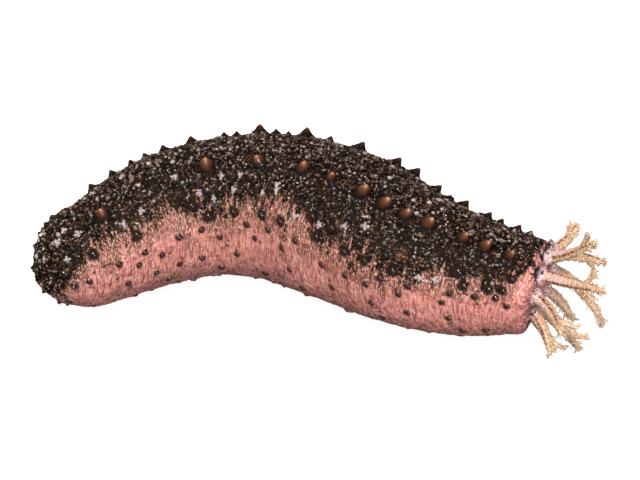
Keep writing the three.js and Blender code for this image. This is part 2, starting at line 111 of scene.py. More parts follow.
EVEN_LAST = 6.8
ANGLE_JITTER = 3
PLACE_JITTER = 0.06
SEED = 20
VENT_DEPTH = 1.8

# Root radius as a share of the height
WIDTH = {"crest": 1.05, "tall": 0.6, "dark": 0.78, "podium": 1.12}

# Grains of the back (mm), and the belt in which they thin out: where it starts and its width (degrees)
GRAIN = 1.0
EDGE_LEAD = 21
EDGE_WIDTH = 33

# Station at which the dark skin ends at the lips
LIP_STATION = 7.16

# White warts that the photo shows on the right flank: station number and angle
WHITE_WARTS = [
    (-0.72, 17), (-0.48, 18), (-0.35, 10), (-0.48, 51), (-0.25, 27), (0.25, 42), (0.53, 40), (1.21, 25),
    (1.82, 57), (2.42, 53), (2.53, 40), (3.11, 54), (3.35, 49), (3.32, 44), (3.74, 63), (4.46, 53),
    (4.68, 45), (5.43, 72), (5.62, 70), (1.5, 48), (2.1, 38), (4.1, 62),
]

# Scattered forms: seed and numbers
BEAD_SEED = 77
GUESSED_WARTS = 26
BACK_BEADS = 430
CREST_BEADS = 300
FLANK_FEET = 130
SOLE_NUBS = 20
TAIL_NUBS = 22

# Tube feet of the sole
FOOT_ROWS = (152, 180, 208)
FOOT_FIRST = 0.36
FOOT_STEP = 0.8
FOOT_COUNT = 8
FOOT_RADIUS = 2.4
SOLE_GAP = 0.5

# Crown of tentacles round the mouth: its place, the collars, shafts, dots and twigs (mm), divisions
CROWN_RADIUS = 14.5
CROWN_AHEAD = 4.9
COLLAR_RADIUS = 4.2
COLLAR_PLACE = 1.5
COLLAR_LENGTH = 3.2
SHAFT_RADIUS = 2.45
TIP_RADIUS = 0.85
SUNK = 3.6
DOTS_FROM = 3.4
DOTS_TURN = 122
TENTACLE_SEED = 900
SHAFT_SIDES = 36
SHAFT_STEPS = 110
FORK_SIDES = 16
FORK_STEPS = 24
TWIG_STEP = 0.27
TWIG_FLOOR = 0.6
FINGER_FROM = 0.72

# Each tentacle as in the solids: around, length (mm), heading, pitch; forks: where, turn, lean, length share
TENTACLES = [
    (336, 16, 6, 44, [(0.55, 0, 36, 0.46)]),
    (12, 29, -42, 36, [(0.66, 10, 30, 0.34)]),
    (48, 34, -46, 12, [(0.64, 0, 42, 0.3), (0.6, 180, 40, 0.28)]),
    (84, 28, -72, -4, [(0.6, 270, 40, 0.4)]),
    (120, 24, -72, -20, [(0.62, 270, 38, 0.4)]),
    (156, 16, -36, -48, []),
    (192, 28, -46, -24, [(0.64, 290, 38, 0.36)]),
    (228, 22, -8, -46, []),
    (264, 35, -26, -38, []),
    (300, 27, 10, -16, [(0.6, 180, 38, 0.36)]),
]

# Values of the tentacles' points for the shaders
TUBE_VALUES = ("share", "inner", "twig", "spot", "bulb", "crescent")

# Girth of the skin that its UV map spans (mm)
SKIN_GIRTH = 190

# Camera: target (mm), distance (m), elevation and lens
TARGET = (0, -14, 26)
DISTANCE = 0.68
ELEVATION = 30
LENS = 85

# Floor: half size and drop below the sole (m), its greys and glow. Strength of the light from all round.
# Lamps: place and size (m), power
FLOOR_HALF = 30.0
FLOOR_DROP = 0.0001
FLOOR_TONES = (0.4, 0.44)
FLOOR_GLOW = 0.92
SURROUNDINGS = 0.13
LIGHTS = {
    "key": ((-0.3, -0.55, 0.9), 0.22, 12),
    "fill": ((0.5, -0.95, 0.16), 0.3, 6),
    "rim": ((-0.1, 1.0, 0.45), 0.4, 7),
}
LIGHT_AIM = (0, 0, 0.03)


def spline(place):
    """Catmull-Rom values and slopes of every station column at station numbers."""
    at = np.clip(np.asarray(place, float), 0, LAST - 1e-9)
    first = np.floor(at).astype(int)
    f = (at - first)[:, None]
    p1, p2 = STATIONS[first], STATIONS[first + 1]
    p0 = np.where((first == 0)[:, None], 2 * p1 - p2, STATIONS[np.maximum(first - 1, 0)])
    p3 = np.where((first + 2 > LAST)[:, None], 2 * p2 - p1, STATIONS[np.minimum(first + 2, LAST)])
    a, b, c = 3 * p1 - p0 - 3 * p2 + p3, 2 * p0 - 5 * p1 + 4 * p2 - p3, p2 - p0
    return 0.5 * (2 * p1 + c * f + b * f**2 + a * f**3), 0.5 * (c + 2 * b * f + 3 * a * f**2)


def unit(vectors):
    """The same directions with length one."""
    return vectors / np.maximum(np.linalg.norm(vectors, axis=-1, keepdims=True), 1e-9)


def sections(place):
    """Centre, forward, side and up directions, half width, rise and drop at station numbers."""
    value, slope = spline(place)
    plan = unit(slope[:, :2])
    ramp = np.clip((np.asarray(place) - LAST + HEAD_PITCH_STATIONS) / HEAD_PITCH_STATIONS, 0, 1)
    pitch = HEAD_PITCH * ramp**2
    cos, sin = np.cos(pitch), np.sin(pitch)
    widest = WIDEST_SHARE + (HEAD_WIDEST_SHARE - WIDEST_SHARE) * ramp**2
    middle = value[:, 4] + (value[:, 3] - value[:, 4]) * widest
    centre = np.stack([value[:, 0], value[:, 1], middle], -1)
    forward = np.stack([cos * plan[:, 0], cos * plan[:, 1], -sin], -1)
    up = np.stack([sin * plan[:, 0], sin * plan[:, 1], cos], -1)
    side = np.stack([plan[:, 1], -plan[:, 0], 0 * cos], -1)
    return centre, forward, side, up, value[:, 2], value[:, 3] - middle, middle - value[:, 4]


def outline_grid(place, share, ahead, dip, angles):
    """Points of section outlines, one row for each place and one column for each angle in radians."""
    centre, forward, side, up, half, rise, drop = sections(place)
    cos, sin = np.cos(angles)[None], np.sin(angles)[None]
    sole = 1 - (1 - np.abs(cos)) ** SOLE_FLATNESS
    height = np.where(cos >= 0, rise[:, None] * cos, -drop[:, None] * sole)
    middle = centre + forward * ahead[:, None]
    middle[:, 2] -= dip
    across = ((share * half)[:, None] * sin)[..., None] * side[:, None]
    return middle[:, None] + across + (share[:, None] * height)[..., None] * up[:, None]


def arc_length(path):
    """Distance along a path at each of its points."""
    return np.concatenate([[0], np.cumsum(np.linalg.norm(np.diff(path, axis=0), axis=1))])


def skin_rows():
    """Place, share, distance ahead and dip of each row of the skin, and its station number for lookups."""
    turns = np.linspace(np.pi / 2, 0, int(TAIL_ARC / ROW_STEP))[1:-1]
    cos, sin = np.cos(turns), np.sin(turns)
    tail = [0 * turns, cos, -TAIL_CAP * sin, TAIL_DIP * (1 - cos), -turns * 2 / np.pi]
    fine = np.linspace(0, LAST, 2000)
    length = arc_length(sections(fine)[0])
    place = np.interp(np.arange(0, length[-1], ROW_STEP), length, fine)
    trunk = [place, 1 + 0 * place, 0 * place, 0 * place, place]
    share, ahead = np.array(MOUTH_PROFILE).T
    reach = np.concatenate([[0], np.cumsum(np.hypot(np.diff(share) * DISC_RADIUS, np.diff(ahead)))])
    steps = np.arange(ROW_STEP, reach[-1], ROW_STEP)
    share, ahead = smooth_interp(steps, reach, share), smooth_interp(steps, reach, ahead)
    mouth = [LAST + 0 * steps, share, ahead, 0 * steps, LAST + steps / reach[-1]]
    return np.concatenate([tail, trunk, mouth], axis=1)


def smooth_interp(x, xp, fp):
    """Linear interpolation with its corners rounded."""
    return sum(np.interp(x + shift, xp, fp) for shift in (-0.8, -0.4, 0, 0.4, 0.8)) / 5


def hashed(ix, iy, iz, seed):
    """Repeatable random number from 0 to 1 for each lattice point."""
    h = (ix * 374761393 + iy * 668265263 + iz * 1440662683 + seed * 1274126177) & 0xFFFFFFFF
    h = ((h ^ (h >> 13)) * 1103515245) & 0xFFFFFFFF
    h = ((h ^ (h >> 16)) * 2654435769) & 0xFFFFFFFF
    return (h ^ (h >> 15)) / 4294967296.0


def noise(points, seed):
    """Smooth value noise from 0 to 1."""
    base = np.floor(points).astype(np.int64)
    f = points - base
    f = f * f * (3 - 2 * f)
    total = 0
    for corner in range(8):
        d = np.array([corner & 1, corner >> 1 & 1, corner >> 2 & 1])
        weight = np.prod(np.where(d == 1, f, 1 - f), axis=-1)
        total = total + weight * hashed(*(base + d).T, seed).T
    return total


def layered(points, seed, layers):
    """Sum of noises from 0 to 1, each twice as fine and half as strong as the one before."""
    total = sum(noise(points * 2**k, seed + k) / 2**k for k in range(layers))
    return total / sum(0.5**k for k in range(layers))


def beads(points, seed):
    """Distance to the nearest of the jittered cell points, and two random numbers of that cell."""
    base = np.floor(points).astype(np.int64)
    width = points.shape[1]
    nearest = np.full(len(points), 9.0)
    home = base.copy()
    for shift in np.ndindex((3,) * width):
        cell = base + np.array(shift) - 1
        gap = 0
        for axis in range(width):
            jitter = hashed(*lattice(cell), seed + axis)
            gap = gap + (points[:, axis] - cell[:, axis] - 0.12 - 0.76 * jitter) ** 2
        closer = gap < nearest
        nearest = np.where(closer, gap, nearest)
        home[closer] = cell[closer]
    return np.sqrt(nearest), hashed(*lattice(home), seed + 7), hashed(*lattice(home), seed + 8)


def lattice(cell):
    """Whole numbers of a cell along three axes."""
    return [cell[:, axis] if axis < cell.shape[1] else 0 for axis in range(3)]


def ease(low, high, x):
    """0 before low, 1 past high and a smooth rise between them."""
    t = np.clip((x - low) / (high - low), 0, 1)
    return t * t * (3 - 2 * t)


def random_source(seed):
    """Function that gives the next of the repeatable random numbers from 0 to 1."""
    def draw():
        nonlocal seed
        seed = seed * 16807 % 2147483647
        return seed / 2147483647

    return draw


class Skin:
    """Grid of the body's skin with its raised forms, the masks of its markings and of its painted shade."""

    MASKS = ("rust", "tip", "podium", "dome", "halo", "pale", "ochre", "smooth", "crevice")

    def __init__(self):
        *rows, self.station = skin_rows()
        self.angles = np.linspace(-np.pi, np.pi, COLUMNS, endpoint=False)
        self.points = outline_grid(*rows, self.angles)
        along = np.gradient(self.points, axis=0)
        around = np.roll(self.points, -1, 1) - np.roll(self.points, 1, 1)
        self.normal = unit(np.cross(around, along))
        self.ahead = unit(along)
        self.pitch = np.linalg.norm(around, axis=-1).mean(1) / 2
        step = np.linalg.norm(np.diff(self.points, axis=0), axis=-1).mean(1)
        self.run = np.concatenate([[0], np.cumsum(step)])
        size = self.points.shape[:2]
        self.height, self.lean, self.near_dark = np.zeros((3, *size))
        self.masks = {name: np.zeros(size) for name in self.MASKS}

    def locate(self, place, angle):
        """Nearest row of a spot, and its column with its fraction."""
        row = np.interp(place, self.station, np.arange(len(self.station)))
        return int(round(row)), (angle + 180) / 360 * COLUMNS

    def window(self, place, angle, reach):
        """Part of the grid round a spot, and the distance in mm of its points from the spot."""
        near, column = self.locate(place, angle)
        across = min(int(reach / max(self.pitch[near], 0.05)) + 2, COLUMNS // 2 - 1)
        down = int(reach / ROW_STEP) + 2
        rows = np.arange(max(near - down, 0), min(near + down + 1, len(self.station)))
        columns = np.arange(int(column) - across, int(column) + across + 1) % COLUMNS
        window = np.ix_(rows, columns)
        share = column - math.floor(column)
        left, right = int(column) % COLUMNS, (int(column) + 1) % COLUMNS
        centre = self.points[near, left] * (1 - share) + self.points[near, right] * share
        return window, np.linalg.norm(self.points[window] - centre, axis=-1)

    def covered(self, place, angle):
        """True where a smooth form already stands."""
        row, column = self.locate(place, angle)
        return self.masks["smooth"][row, int(round(column)) % COLUMNS] > 0.15

    def lift(self, window, height, lean=0.0):
        """Raises a part of the skin to at least the given height."""
        higher = height > self.height[window]
        self.lean[window] = np.where(higher, height * lean, self.lean[window])
        self.height[window] = np.maximum(height, self.height[window])

    def mark(self, window, **amounts):
        """Raises masks in a part of the skin to at least the given amounts."""
        for name, amount in amounts.items():
            self.masks[name][window] = np.maximum(self.masks[name][window], amount)

    def ring(self, window, r, strength):
        """Paints shade in a thin ring round the root of a form."""
        self.mark(window, crevice=strength * np.exp(-(((r - 1.03) / 0.13) ** 2)))

    def raise_form(self, kind, place, angle, height):
        """Stamps one papilla, dark dome or tube foot with its markings."""
        lean = LEAN_AHEAD if place > LEAN_FROM else 0.0
        radius = WIDTH[kind] * height
        window, away = self.window(place, angle, radius * 2.2)
        r = away / radius
        inside = np.clip(1 - r**2, 0, 1)
        if kind == "crest":
            rise = cone(r, 0.26) ** 1.7
        elif kind == "tall":
            rise = 0.38 * inside**0.8 + 0.62 * cone(r, 0.2)
            rise = np.maximum(0.94 * rise + 0.06, 0.14 * ease(1.5, 0.9, r)) * ease(1.5, 0.9, r)
        else:
            rise = inside**0.55
        self.lift(window, height * rise, lean)
        if kind == "tall":
            self.mark(window, tip=ease(0.86, 1, rise), rust=rise, smooth=ease(0.05, 0.3, rise))
            self.ring(window, r, 0.6)
        elif kind == "crest":
            self.mark(window, tip=0.65 * ease(0.8, 1, rise), rust=0.62 * rise)
            self.mark(window, smooth=0.85 * ease(0.15, 0.6, rise))
        else:
            self.mark(window, smooth=ease(0.02, 0.3, rise), halo=ease(1.45, 0.95, r))
        if kind == "podium":
            self.mark(window, podium=ease(0.02, 0.2, rise))
        elif kind == "dark":
            self.mark(window, dome=ease(0.02, 0.2, rise))
            self.near_dark[window] = np.maximum(self.near_dark[window], ease(1.7, 0.9, r))

    def raise_bead(self, place, angle, height, radius, pale=0.0, ochre=0.0):
        """Stamps one small round bead."""
        window, away = self.window(place, angle, radius * 1.4)
        r = away / radius
        rise = np.clip(1 - r**2, 0, 1) ** 0.6
        self.lift(window, height * rise)
        body = ease(0.1, 0.5, rise)
        self.mark(window, pale=pale * body, ochre=ochre * body, smooth=0.7 * body)
        self.ring(window, r, 0.8)

    def raise_cluster(self, place, angle, size, random):
        """Stamps a white wart: a round knob with smaller beads close round it."""
        self.raise_bead(place, angle, 0.95 * size, 0.66 * size, 0.9)
        count = 3 + int(3 * random())
        first = random()
        scale = self.scale(place)
        for k in range(count):
            turn = 2 * math.pi * (k + 0.4 * random() + first) / count
            off = size * (0.68 + 0.2 * random())
            self.raise_bead(
                place + off * math.cos(turn) / scale[0], angle + off * math.sin(turn) / scale[1],
                0.62 * size, (0.34 + 0.16 * random()) * size, 0.8 + 0.2 * random(),
            )

    def scale(self, place):
        """Millimetres for each station number and for each degree at a place."""
        row = min(max(self.locate(place, 0)[0], 1), len(self.station) - 2)
        along = ROW_STEP / max(self.station[row + 1] - self.station[row - 1], 1e-3) * 2
        return along, max(self.pitch[row] * COLUMNS / 360, 0.08)


def listed_forms():
    """Every raised form of the solids but the warts: kind, place, angle, height."""
    for kind, angle, sway, places, heights in ROWS:
        for i, place in enumerate(places):
            swayed = angle + sway * math.cos(2 * math.pi * (place - SWAY_PEAK) / SWAY_LENGTH)
            yield kind, place, swayed, heights[i % len(heights)]
    random = random_source(SEED)
    for kind, angle, height, count in EVEN_ROWS:
        for i in range(count):
            spread = EVEN_FIRST + (EVEN_LAST - EVEN_FIRST) * (i + 0.5) / count
            varied = height * (1 + 0.15 * (2 * random() - 1))
            place = spread + 3 * PLACE_JITTER * (2 * random() - 1)
            yield kind, place, angle + ANGLE_JITTER * (2 * random() - 1), varied


def cone(r, softness):
    """Height of a cone with a rounded tip at shares of its root radius."""
    rounded = np.sqrt(r**2 + softness**2) - softness
    return np.clip(1 - rounded / (math.sqrt(1 + softness**2) - softness), 0, 1)


def boundary_angle(place):
    """Angle from the crest at which the dark back ends."""
    places = [-0.95, -0.75, -0.5, -0.2, 0.5, 1.1, 1.8, 2.6, 3.9, 5.1, 5.9, 6.5, 7.0]
    angles = [178, 140, 84, 53, 57, 63, 70, 70, 72, 75, 69, 64, 60]
    return np.interp(place, places, angles)


def paint_skin(skin):
    """Raised skin between the forms, and the masks that follow from the place on the body."""
    masks = skin.masks
    degrees = np.degrees(skin.angles)[None] + 0 * skin.run[:, None]
    run = skin.run[:, None] + 0 * degrees
    girth = degrees * (skin.pitch * COLUMNS / 360)[:, None]
    shape = run.shape
    flat = skin.points.reshape(-1, 3)

    def clouds(scale, seed, layers=2):
        return layered(flat / scale, seed, layers).reshape(shape) - 0.5

    def streaks(along, round_about, seed):
        grid = np.stack([along, round_about, 0 * run], -1).reshape(-1, 3)
        return layered(grid, seed, 2).reshape(shape)

    def cells(*axes, seed):
        grid = np.stack(axes, -1).reshape(-1, len(axes))
        return (values.reshape(shape) for values in beads(grid, seed))

    warp = [clouds(2.2, 31), clouds(2.2, 48)]
    across = run + 1.2 * warp[0] + 3 * clouds(11, 37)
    gap, cell, tint = cells(across, (girth + 3 * warp[1]) / 3.6, seed=51)
    ridge = np.clip(1 - (gap / 0.75) ** 2, 0, 1)
    x, y, z = np.moveaxis(skin.points, -1, 0)
    gap, number, mottle = cells(x / GRAIN + warp[0], y / GRAIN + warp[1], z / GRAIN + 0.6 * warp[0], seed=41)
    bead = np.clip(1 - (gap / 0.64) ** 2, 0, 1)

    side = np.abs(degrees)
    frays = 20 * clouds(8, 23) + 34 * (streaks(run / 1.5, girth / 9, 66) - 0.5)
    away = side - boundary_angle(skin.station)[:, None] + frays
    fade = (away + EDGE_LEAD - 10 * skin.near_dark) / EDGE_WIDTH
    crown = LIP_STATION - 0.08 * ease(30, 70, side) + 0.1 * clouds(2.5, 91)
    masks["lip"] = ease(-0.03, 0.12, skin.station[:, None] - crown)
    front = skin.station[:, None] - crown + 0.13 * ease(10, 60, side) + 0.12 * (cell - 0.5)
    fade = np.maximum(fade, 1.6 * ease(-0.14, 0.04, front))
    masks["fade"] = np.clip(fade, -0.5, 1.6)
    dark = ease(-0.1, 0.1, 0.15 + 0.7 * mottle - fade)
    # Underside: mottled sole colour, partly painted shade darkening the body towards the bottom.
    masks["under"] = ease(96, 126, side + 30 * clouds(5, 77))
    masks["tint"], masks["ridge"], masks["speck"], masks["mottle"] = tint, ridge, number, mottle

    lip = masks["lip"]
    quiet = 1 - masks["smooth"]
    pleat = 1 - 2 * np.abs(streaks(girth / 1.6, run / 6, 61) - 0.5)
    relief = dark * bead**0.7 * (0.25 + 0.65 * number**1.5) * quiet
    relief += (1 - dark) * (0.3 * ridge + 0.25 * bead + 0.3 * clouds(0.9, 15)) * (1 - 0.8 * masks["smooth"])
    relief += lip * (0.7 * pleat + 0.2 * bead) * quiet
    relief += 0.9 * clouds(9, 5, 3)
    # Painted shade in the crevices between the back's grains.
    masks["crevice"] = np.maximum(masks["crevice"], dark * ease(0.55, 0.15, bead) * quiet)
    masks["collar"] = near_tentacles(skin)
    return relief


def near_tentacles(skin):
    """1 at the roots of the tentacles, falling to 0 a few millimetres from their collars."""
    near = np.zeros(skin.height.shape)
    for around, *rest in TENTACLES:
        away = np.linalg.norm(skin.points - tentacle_root(around)[0], axis=-1)
        near = np.maximum(near, ease(COLLAR_RADIUS + 3.2, COLLAR_RADIUS, away))
    return near


def build_skin():
    """The skin's piece with all its raised forms, and its grid."""
    skin = Skin()
    for kind, place, angle, height in listed_forms():
        skin.raise_form(kind, place, angle, height)
    scatter_beads(skin)
    relief = paint_skin(skin) * ease(0.01, 0.06, skin.pitch)[:, None]
    vent = ease(-0.88, -0.96, skin.station)[:, None]
    mouth = ease(LAST + 0.86, LAST + 0.95, skin.station)[:, None]
    # Painted shade in the vent and the mouth.
    skin.masks["crevice"] = np.maximum(skin.masks["crevice"], 0.85 * np.maximum(vent, mouth))
    height = skin.height * (1 - vent) + relief - VENT_DEPTH * vent
    moved = skin.points + skin.normal * height[..., None] + skin.ahead * skin.lean[..., None]
    moved = add_sole_feet(skin, moved)
    return grid_object(moved, skin), skin


def scatter_beads(skin):
    """White warts and small beads of the back, tiny tube feet of the flanks and nubs."""
    random = random_source(BEAD_SEED)
    for place, angle in WHITE_WARTS:
        skin.raise_cluster(place, angle, 1.45 + 0.3 * random(), random)
    for i in range(GUESSED_WARTS):
        place, angle = -0.8 + 7.5 * random(), -75 + 62 * random()
        if not skin.covered(place, angle):
            skin.raise_cluster(place, angle, 1.2 + 0.4 * random(), random)
    for i in range(BACK_BEADS):
        place = -0.93 + 7.85 * random()
        angle = -10 + 62 * (2 * random() - 1) * random() ** 0.7
        tone = random()
        size = 0.5 + 0.55 * random() ** 2
        if skin.covered(place, angle):
            continue
        pale = 0.2 + 0.6 * random() if tone < 0.2 else 0.0
        ochre = 0.3 + 0.6 * random() if tone > 0.3 else 0.0
        skin.raise_bead(place, angle, 0.9 * size, size, pale, ochre)
    for i in range(CREST_BEADS):
        place, angle = -0.8 + 7.6 * random(), -34 + 50 * random()
        size = 0.6 + 0.7 * random() ** 1.5
        if not skin.covered(place, angle):
            skin.raise_bead(place, angle, size, size, 0.8 * random() ** 3, 0.4 + 0.6 * random())
    for i in range(FLANK_FEET):
        place = -0.6 + 7.4 * random()
        angle = (-1 if random() < 0.5 else 1) * (74 + 52 * random())
        size = 0.5 + 0.4 * random()
        if not skin.covered(place, angle):
            skin.raise_bead(place, angle, 0.8 * size, size, 0.0, 1.0)
    raise_nubs(skin, random)


def raise_nubs(skin, random):
    """Small nubs round the tail and along the edges of the sole."""
    for i in range(TAIL_NUBS):
        angle = -170 + 340 * (i + random()) / TAIL_NUBS
        skin.raise_form("crest", -0.3 - 0.45 * random(), angle, 1.8 + 0.8 * random())
    for side in (-1, 1):
        for i in range(SOLE_NUBS):
            place = -0.75 + 7.5 * (i + random()) / SOLE_NUBS
            angle = side * (126 + 10 * random())
            size = 0.9 + 0.8 * random()
            window, away = skin.window(place, angle, size * 2)
            rise = np.exp(-((away / size) ** 2) * 1.2)
            skin.lift(window, 0.8 * size * rise)
            skin.mark(window, rust=0.7 * ease(0.35, 0.8, rise), tip=0.5 * ease(0.8, 1, rise))
            skin.mark(window, smooth=0.8 * ease(0.3, 0.7, rise))


def add_sole_feet(skin, moved):
    """Pulls the sole's feet down to flat ends on the floor and keeps the rest of the sole off it."""
    moved[..., 2] = np.maximum(moved[..., 2], SOLE_GAP)
    for angle in FOOT_ROWS:
        for i in range(FOOT_COUNT):
            row, column = skin.locate(FOOT_FIRST + FOOT_STEP * i, angle if angle < 180 else angle - 360)
            centre = skin.points[row, int(round(column)) % COLUMNS]
            away = np.hypot(moved[..., 0] - centre[0], moved[..., 1] - centre[1])
            pull = ease(FOOT_RADIUS, FOOT_RADIUS * 0.6, away) * (skin.points[..., 2] < centre[2] + 4)
            moved[..., 2] = moved[..., 2] * (1 - pull)
    return moved


def new_object(name, data):
    """Object of that data in the scene."""
    made = bpy.data.objects.new(name, data)
    bpy.context.scene.collection.objects.link(made)
    return made


def new_mesh(name, points, corners, sizes, uv):
    """Mesh object from points in mm, the flat list of face corners, face sizes and a UV map."""
    mesh = bpy.data.meshes.new(name)
    mesh.vertices.add(len(points))
    mesh.vertices.foreach_set("co", (np.asarray(points) * MM).ravel())
    mesh.loops.add(len(corners))
    mesh.loops.foreach_set("vertex_index", np.asarray(corners, dtype=np.int32))
    mesh.polygons.add(len(sizes))
    starts = np.concatenate([[0], np.cumsum(sizes)[:-1]])
    mesh.polygons.foreach_set("loop_start", starts.astype(np.int32))
    mesh.update(calc_edges=True)
    mesh.polygons.foreach_set("use_smooth", np.ones(len(sizes), dtype=bool))
    layer = mesh.uv_layers.new(name="OFBake")
    layer.data.foreach_set("uv", uv.astype(np.float32).ravel())
    return new_object(name, mesh)


def tube_faces(u, columns):
    """Face corners, face sizes and UV map of a closed tube: quads between its rings and a fan at each end."""
    rows = len(u)
    v = np.arange(columns + 1) / columns
    middle = (v[:-1] + v[1:]) / 2
    i, j = np.meshgrid(np.arange(rows - 1), np.arange(columns), indexing="ij")
    here, beside = i * columns + j, i * columns + (j + 1) % columns
    quads = np.stack([here, beside, beside + columns, here + columns], -1)
    ring = np.arange(columns)
    ahead = np.roll(ring, -1)
    pole = 0 * ring + rows * columns
    last = (rows - 1) * columns
    fans = [np.stack([pole, ahead, ring], -1), np.stack([pole + 1, last + ring, last + ahead], -1)]
    corners = np.concatenate([part.ravel() for part in (quads, *fans)])
    sizes = np.repeat([4, 3], [(rows - 1) * columns, 2 * columns])
    quad_u = np.stack([u[i], u[i], u[i + 1], u[i + 1]], -1)
    quad_v = np.stack([v[j], v[j + 1], v[j + 1], v[j]], -1)
    fan_u = np.repeat([[0, u[0], u[0]], [1, u[-1], u[-1]]], columns, axis=0)
    fan_v = [np.stack([middle, v[1:], v[:-1]], -1), np.stack([middle, v[:-1], v[1:]], -1)]
    all_u = np.concatenate([quad_u.ravel(), fan_u.ravel()])
    all_v = np.concatenate([part.ravel() for part in (quad_v, *fan_v)])
    return corners, sizes, np.stack([all_u, all_v], -1)


def add_attribute(piece, name, values):
    """Gives a mesh one number for each of its points, for the shaders."""
    layer = piece.data.attributes.new(name, "FLOAT", "POINT")
    layer.data.foreach_set("value", np.asarray(values, dtype=np.float32).ravel())


def grid_object(points, skin):
    """Closed skin from the grid, with a fan at the tail's pole and one in the mouth."""
    poles = np.array([points[0].mean(0), points[-1].mean(0)])
    u = (skin.run / skin.run[-1]) * 0.98 + 0.01
    piece = new_mesh("skin", np.concatenate([points.reshape(-1, 3), poles]), *tube_faces(u, COLUMNS))
    for mask, values in skin.masks.items():
        ends = [values[0].mean(), values[-1].mean()]
        add_attribute(piece, mask, np.concatenate([values.reshape(-1), ends]))
    return piece


class Shape:
    """Collects closed tubes, their point values and their places on the UV map into one mesh."""

    def __init__(self):
        self.points, self.corners, self.sizes, self.values = [], [], [], []
        self.local, self.large = [], []
        self.count = 0

    def tube(self, path, radii, sides, share, twig, inner=None, large=False, marks=None):
        """Adds a closed tube. share: value for each ring. inner: direction in which the inner side faces."""
        path = np.asarray(path, float)
        count = len(path)
        tangent = unit(np.gradient(path, axis=0))
        hint = np.array((0.31, 0.23, 0.92)) if inner is None else inner
        first = unit(hint - tangent * (tangent @ hint)[:, None])
        second = np.cross(tangent, first)
        turn = np.linspace(0, 2 * np.pi, sides, endpoint=False)
        spread = np.cos(turn)[None, :, None] * first[:, None] + np.sin(turn)[None, :, None] * second[:, None]
        radii = np.asarray(radii, float)
        radii = radii[:, None] if radii.ndim == 1 else radii
        rings = path[:, None] + spread * np.broadcast_to(radii, (count, sides))[..., None]
        tips = np.stack([path[0], path[-1] + tangent[-1] * radii[-1].mean() * 0.8])
        corners, sizes, local = tube_faces(np.linspace(0.02, 0.98, count), sides)
        self.points += [rings.reshape(-1, 3), tips]
        self.corners.append(corners + self.count)
        self.sizes.append(sizes)
        values = np.zeros((count, sides, len(TUBE_VALUES)))
        values[..., 0] = np.asarray(share, float)[:, None]
        values[..., 1] = 0 if inner is None else np.cos(turn)
        values[..., 2] = twig
        values[..., 3:] = 0 if marks is None else marks
        ends = values[[0, -1], 0]
        ends[:, 1] = 0
        self.values += [values.reshape(count * sides, -1), ends]
        self.count += count * sides + 2
        self.local.append(local)
        self.large.append(large)

    def finish(self, name):
        """Makes the object. Large tubes get full-width strips of the UV map and the rest a grid of cells."""
        strips = sum(self.large)
        small = len(self.large) - strips
        across = max(1, math.ceil(math.sqrt(2 * small)))
        down = max(1, math.ceil(small / across))
        uv, strip, cell = [], 0, 0
        for local, large in zip(self.local, self.large):
            if large:
                low, size = (0.01, 0.01 + 0.55 * strip / strips), (0.98, 0.53 / strips)
                strip += 1
            else:
                low = (0.01 + 0.98 * (cell % across) / across, 0.57 + 0.42 * (cell // across) / down)
                size = (0.93 / across, 0.39 / down)
                cell += 1
            uv.append(low + local * size)
        piece = new_mesh(name, *map(np.concatenate, (self.points, self.corners, self.sizes, uv)))
        values = np.concatenate(self.values)
        for column, attribute in enumerate(TUBE_VALUES):
            add_attribute(piece, attribute, values[:, column])
        return piece


def bezier(root, bend, end, count):
    """Points of a curve from root to end that leans towards bend."""
    x = np.linspace(0, 1, count)[:, None]
    return (1 - x) ** 2 * root + 2 * x * (1 - x) * bend + x * x * end


def sideways(tangent, turn):
    """Direction square to the tangent, turned by degrees from upwards."""
    raised = unit(np.array((0.0, 0.0, 1.0)) - tangent * tangent[2])
    side = np.cross(tangent, raised)
    return raised * math.cos(math.radians(turn)) + side * math.sin(math.radians(turn))


def bulb(distance):
    """Swelling of a collar at distances from the root, from 0 to 1."""
    return np.exp(-(((distance - COLLAR_PLACE) / COLLAR_LENGTH) ** 2))


def shaft_radius(distance, length):
    """Radius of a tentacle at distances from its root: a swollen collar, then a slow taper."""
    collar = COLLAR_RADIUS * bulb(distance)
    share = np.clip((distance - 3) / (length - 3), 0, 1)
    return np.maximum(collar, SHAFT_RADIUS + (TIP_RADIUS - SHAFT_RADIUS) * share**2)


def tentacle_root(around):
    """Root of a tentacle on the disc, the way out from the disc's middle and the way forward."""
    centre, forward, side, up = [value[0] for value in sections([LAST])[:4]]
    turn = math.radians(around)
    out = up * math.cos(turn) + side * math.sin(turn)
    return centre + forward * CROWN_AHEAD + out * CROWN_RADIUS, out, forward


def dotted_rows(run, turn, radii, random):
    """Two rows of dots, one along each flank of a tentacle's inner side."""
    marks = np.zeros((len(run), len(turn)))
    for flank in (-1, 1):
        at = DOTS_FROM
        while at < 0.85 * run[-1]:
            row = math.radians(flank * (DOTS_TURN + 12 * (random() - 0.5)))
            size = (0.36 + 0.36 * random()) * (1 - 0.3 * at / run[-1])
            gap = (turn[None] - row + np.pi) % (2 * np.pi) - np.pi
            away = np.hypot(run[:, None] - at, gap * radii[:, None])
            marks = np.maximum(marks, ease(1.5, 0.6, away / size))
            at += 1.1 + 1.1 * random()
    return marks


def add_twig(shape, root, way, length, radius, share, random, shoots):
    """Curved twig with side shoots."""
    aside = unit(np.array([random() - 0.5 for k in range(3)]))
    bend = root + way * length * 0.5
    end = root + way * length * 0.95 + aside * length * 0.22
    if min(bend[2], end[2]) < TWIG_FLOOR:
        return
    path = bezier(root, bend, end, 5)
    shape.tube(path, radius * np.array((1, 0.95, 0.85, 0.75, 0.6)), 6, np.full(5, share), 1)
    for k in range(shoots):
        at = path[1 + k % 4]
        lean = unit(way + 1.3 * unit(np.array([random() - 0.5 for axis in range(3)])))
        tip = at + lean * length * (0.3 + 0.2 * random())
        if tip[2] > TWIG_FLOOR:
            shoot = np.stack([at, (at + tip) / 2, tip])
            shape.tube(shoot, radius * np.array((0.6, 0.5, 0.35)), 5, np.full(3, share), 1)


